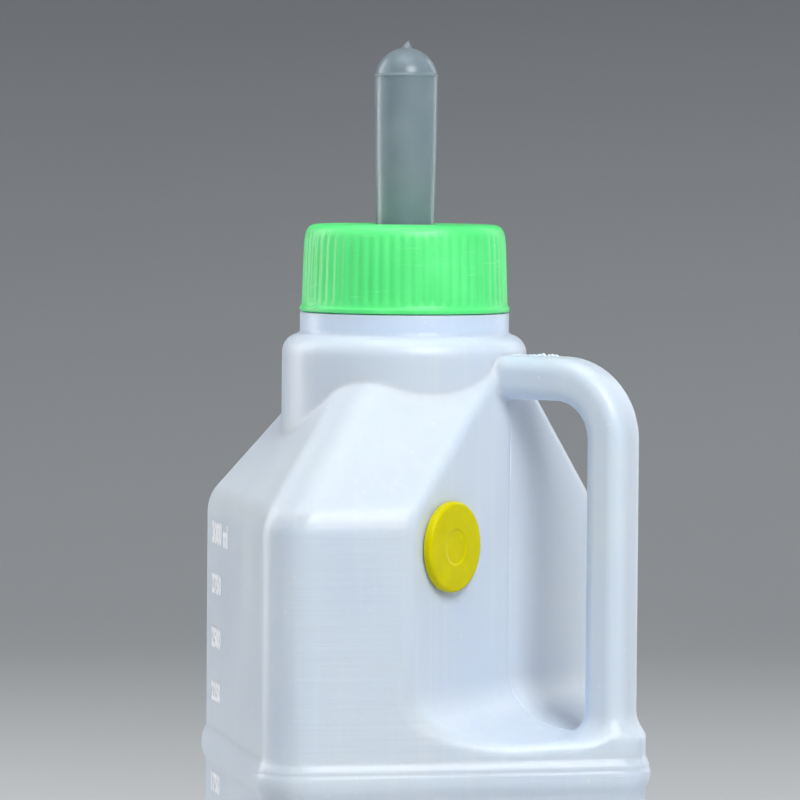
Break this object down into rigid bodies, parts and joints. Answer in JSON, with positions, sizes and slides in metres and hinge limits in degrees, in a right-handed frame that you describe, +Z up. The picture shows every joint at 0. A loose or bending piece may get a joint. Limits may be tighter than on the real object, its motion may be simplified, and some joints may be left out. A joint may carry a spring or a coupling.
{
  "type": "calf feeding bottle",
  "caption": "Square translucent feeding bottle with a hollow corner handle, a push-in air vent, a ribbed screw cap and a soft calf teat with a ball check valve.",
  "frame": {"origin": "middle of the square body on the surface that the bottle stands on", "axes": "+Z up through the neck; the body's four faces look along X and Y; the handle stands at the +X -Y corner and the printed scale is on the -X face"},
  "size_m": [0.1324, 0.1324, 0.359],
  "materials": {
    "milky_plastic": "blow-moulded natural polyethylene, milky and slightly waxy",
    "green_plastic": "injection-moulded, satin",
    "clear_rubber": "translucent grey-white, glossy",
    "white_plastic": "injection-moulded, smooth",
    "yellow_plastic": "injection-moulded, glossy"
  },
  "bodies": {
    "bottle": {"bottle_body": "milky_plastic", "vent_grommet": "clear_rubber", "vent_body": "yellow_plastic"},
    "teat": {"teat": "clear_rubber", "teat_valve_housing": "white_plastic", "teat_valve_cage": "white_plastic"},
    "cap": {"screw_cap": "green_plastic"},
    "valve_ball": {"teat_valve_ball": "white_plastic"},
    "vent_flap": {"vent_flap": "clear_rubber"}
  },
  "joints": [
    {"name": "teat_lift", "type": "slide", "parent": "bottle", "child": "teat", "axis": [0, 0, 1], "range_m": [0, 0.02405]},
    {"name": "cap_turn", "type": "hinge", "parent": "teat", "child": "cap", "pos_m": [-0.0053, 0.0053, 0.28], "axis": [0, 0, 1], "range_deg": [0, 1440]},
    {"name": "valve_ball_lift", "type": "slide", "parent": "teat", "child": "valve_ball", "axis": [0, 0, 1], "range_m": [0, 0.003]},
    {"name": "vent_flap_open", "type": "slide", "parent": "bottle", "child": "vent_flap", "axis": [-0.6819, 0.7314, 0], "range_m": [0, 0.0012], "stiffness_N_per_m": 30}
  ],
  "couplings": [
    {"joint": "teat_lift", "follows": "cap_turn", "m_per_rad": 0.00095493}
  ]
}
